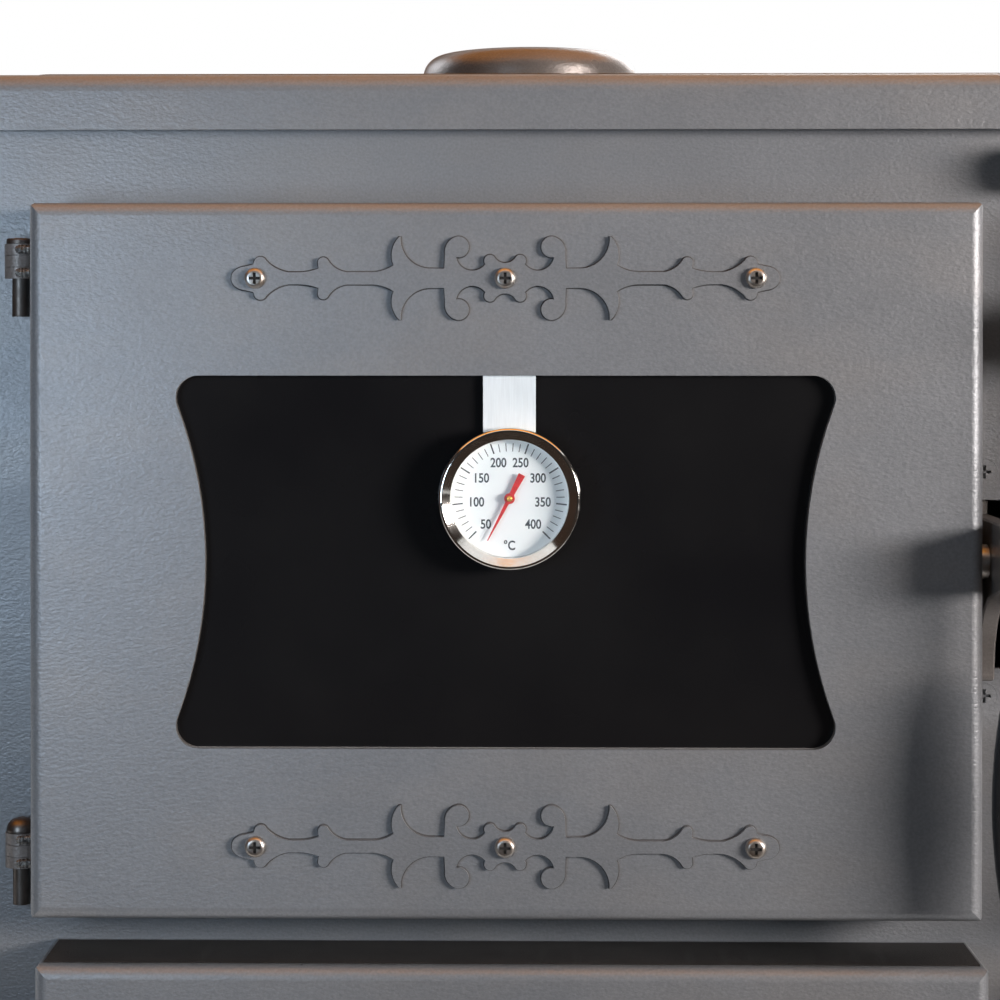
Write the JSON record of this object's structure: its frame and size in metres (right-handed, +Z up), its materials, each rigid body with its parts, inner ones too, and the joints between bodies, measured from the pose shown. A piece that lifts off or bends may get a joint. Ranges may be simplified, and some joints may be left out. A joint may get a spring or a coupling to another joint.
{
  "type": "wood cookstove",
  "caption": "Wood-fired cookstove with an oven door with a bowed window and dial thermometer, a fire door, ash, wood and kindling drawers, hooked latches and a flat cooking plate.",
  "frame": {"origin": "on the floor, under the middle of the overall box", "axes": "+X to the stove's right seen from the front, +Y to its back, +Z up"},
  "size_m": [0.88, 0.639, 0.8132],
  "materials": {
    "stove_paint": "matt metallic heat-resisting paint on sheet steel",
    "flue_enamel": "matt heat-resisting paint",
    "cast_iron": "ground and blackened cast iron",
    "lever_steel": "painted steel plate",
    "grip_phenolic": "black phenolic moulding",
    "pin_steel": "turned steel pin, thinly painted",
    "ornament_steel": "laser-cut steel plate, painted with the door",
    "fastener_steel": "zinc-plated steel",
    "strap_steel": "bright brushed stainless strip",
    "case_steel": "polished stainless bezel",
    "dial_white": "printed white dial",
    "lens_glass": "flat clear glass",
    "needle_red": "red painted pointer",
    "door_glass": "heat-resisting glass ceramic, black from the front",
    "rope_fibre": "knitted glass-fibre rope",
    "liner_sheet": "aluminised steel sheet",
    "oven_enamel": "dark vitreous enamel on steel sheet",
    "rack_chrome": "chromed wire",
    "firebox_steel": "blackened steel plate",
    "fireclay": "pressed fireclay",
    "zinc_sheet": "zinc-coated steel sheet"
  },
  "bodies": {
    "stove_body": {"front_panel": "stove_paint", "side_panel_left": "stove_paint", "side_panel_right": "stove_paint", "back_panel": "stove_paint", "base_plate": "stove_paint", "plinth": "stove_paint", "levelling_feet": "zinc_sheet", "top_frame": "stove_paint", "cooking_plate": "cast_iron", "flue_collar_top": "flue_enamel", "flue_collar_rear": "flue_enamel", "oven_box": "oven_enamel", "oven_rack": "rack_chrome", "firebox_shell": "firebox_steel", "fire_bricks": "fireclay", "fire_grate": "cast_iron", "smoke_baffle": "liner_sheet", "panel_knuckles": "stove_paint", "hinge_pins": "pin_steel", "latch_keepers": "stove_paint", "keeper_screws": "stove_paint", "drawer_runners": "zinc_sheet"},
    "oven_door": {"oven_door_panel": "stove_paint", "oven_door_liner": "liner_sheet", "oven_door_glass": "door_glass", "oven_door_gaskets": "rope_fibre", "oven_door_knuckles": "stove_paint", "oven_ornaments": "ornament_steel", "oven_door_fasteners": "fastener_steel", "thermometer_strap": "strap_steel", "thermometer_case": "case_steel", "thermometer_dial": "dial_white", "thermometer_lens": "lens_glass"},
    "needle": {"thermometer_needle": "needle_red"},
    "oven_latch": {"oven_latch_lever": "lever_steel", "oven_latch_grip": "grip_phenolic"},
    "fire_door": {"fire_door_panel": "stove_paint", "fire_door_liner": "liner_sheet", "fire_door_glass": "door_glass", "fire_door_gaskets": "rope_fibre", "fire_door_knuckles": "stove_paint", "fire_ornaments": "ornament_steel", "fire_door_fasteners": "fastener_steel"},
    "fire_latch": {"fire_latch_lever": "lever_steel", "fire_latch_grip": "grip_phenolic"},
    "ash_drawer": {"ash_drawer_front": "stove_paint", "ash_pan": "zinc_sheet", "ash_drawer_knob": "grip_phenolic"},
    "shutter": {"air_shutter": "stove_paint"},
    "wood_drawer": {"wood_drawer_front": "stove_paint", "wood_drawer_box": "zinc_sheet", "wood_drawer_handle": "grip_phenolic"},
    "kindling_drawer": {"kindling_drawer_front": "stove_paint", "kindling_drawer_box": "zinc_sheet", "kindling_drawer_handle": "grip_phenolic"},
    "damper": {"damper_slide": "liner_sheet", "damper_knob": "grip_phenolic"},
    "ring": {"cooking_ring": "cast_iron"},
    "plug": {"ring_plug": "cast_iron"},
    "cap": {"flue_cap": "flue_enamel"}
  },
  "joints": [
    {"name": "oven_door_swing", "type": "hinge", "parent": "stove_body", "child": "oven_door", "pos_m": [-0.3975, -0.2345, 0.535], "axis": [0, 0, -1], "range_deg": [0, 110]},
    {"name": "needle_turn", "type": "hinge", "parent": "oven_door", "child": "needle", "pos_m": [-0.1665, -0.28, 0.56425], "axis": [0, 1, 0], "range_deg": [0, 287.5]},
    {"name": "oven_latch_turn", "type": "hinge", "parent": "oven_door", "child": "oven_latch", "pos_m": [0.0583, -0.2555, 0.5337], "axis": [-1, 0, 0], "range_deg": [-3, 25]},
    {"name": "fire_door_swing", "type": "hinge", "parent": "stove_body", "child": "fire_door", "pos_m": [0.3965, -0.2345, 0.593], "axis": [0, 0, 1], "range_deg": [0, 110]},
    {"name": "fire_latch_turn", "type": "hinge", "parent": "fire_door", "child": "fire_latch", "pos_m": [0.1197, -0.2555, 0.64], "axis": [-1, 0, 0], "range_deg": [-3, 25]},
    {"name": "ash_drawer_slide", "type": "slide", "parent": "stove_body", "child": "ash_drawer", "axis": [0, -1, 0], "range_m": [0, 0.22]},
    {"name": "air_shutter_slide", "type": "slide", "parent": "ash_drawer", "child": "shutter", "axis": [1, 0, 0], "range_m": [0, 0.016]},
    {"name": "wood_drawer_slide", "type": "slide", "parent": "stove_body", "child": "wood_drawer", "axis": [0, -1, 0], "range_m": [0, 0.3]},
    {"name": "kindling_drawer_slide", "type": "slide", "parent": "stove_body", "child": "kindling_drawer", "axis": [0, -1, 0], "range_m": [0, 0.3]},
    {"name": "damper_pull", "type": "slide", "parent": "stove_body", "child": "damper", "axis": [0, -1, 0], "range_m": [0, 0.06]},
    {"name": "ring_lift", "type": "slide", "parent": "stove_body", "child": "ring", "axis": [0, 0, 1], "range_m": [0, 0.08]},
    {"name": "plug_lift", "type": "slide", "parent": "ring", "child": "plug", "axis": [0, 0, 1], "range_m": [0, 0.06]},
    {"name": "flue_cap_lift", "type": "slide", "parent": "stove_body", "child": "cap", "axis": [0, 0, 1], "range_m": [0, 0.06]}
  ]
}
